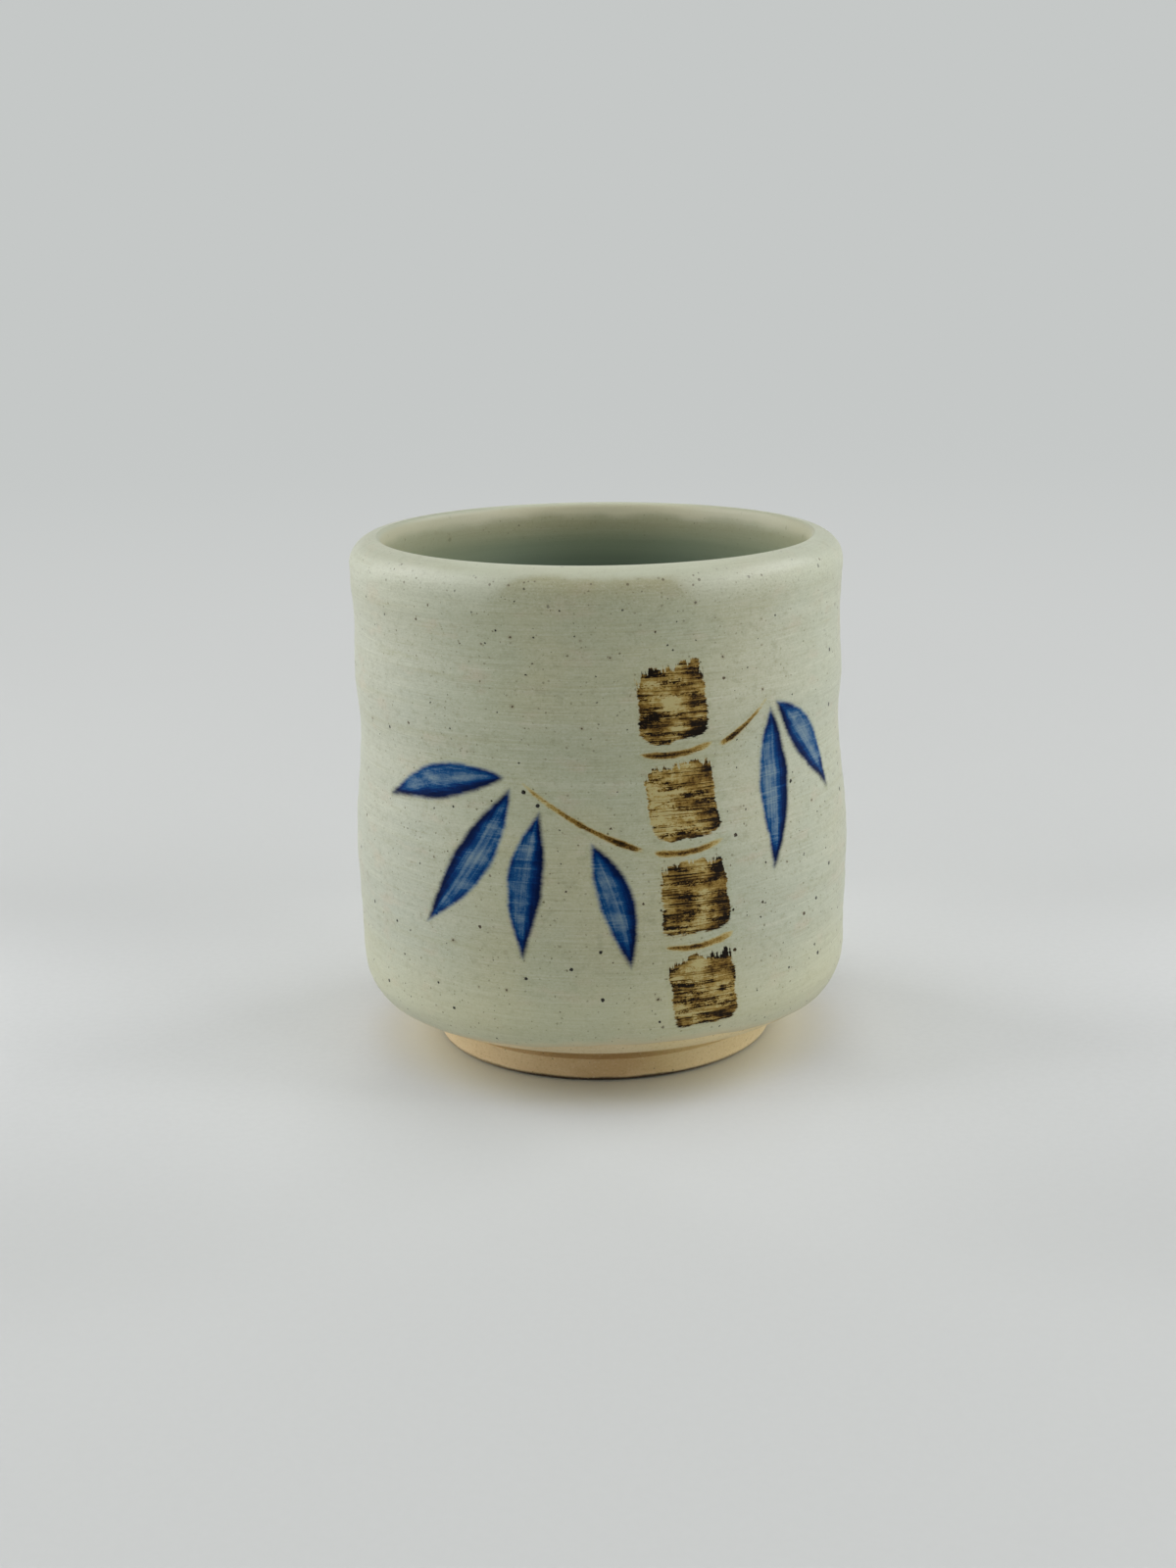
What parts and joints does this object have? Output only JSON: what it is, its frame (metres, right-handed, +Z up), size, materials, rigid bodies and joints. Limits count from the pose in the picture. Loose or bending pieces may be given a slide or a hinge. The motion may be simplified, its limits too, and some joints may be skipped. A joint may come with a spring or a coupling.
{
  "type": "tea cup",
  "caption": "Tall handleless stoneware tea cup with a soft waist, rounded lip, turned foot ring, pale glaze inside and out, and brushed bamboo in iron brown and cobalt blue.",
  "frame": {"origin": "centre of the foot ring's bottom face, on the surface the cup stands on", "axes": "+Z up along the axis of the cup; the brushwork faces -Y; +X to the right as seen from the front"},
  "size_m": [0.0822, 0.0824, 0.085],
  "materials": {
    "clay": "matte",
    "glaze": "satin",
    "liner_glaze": "satin",
    "iron": "satin",
    "cobalt": "satin"
  },
  "bodies": {
    "root": {"stoneware_body": "clay", "outer_glaze": "glaze", "inner_glaze": "liner_glaze", "iron_culm": "iron", "iron_twigs": "iron", "cobalt_leaves": "cobalt"}
  },
  "joints": []
}
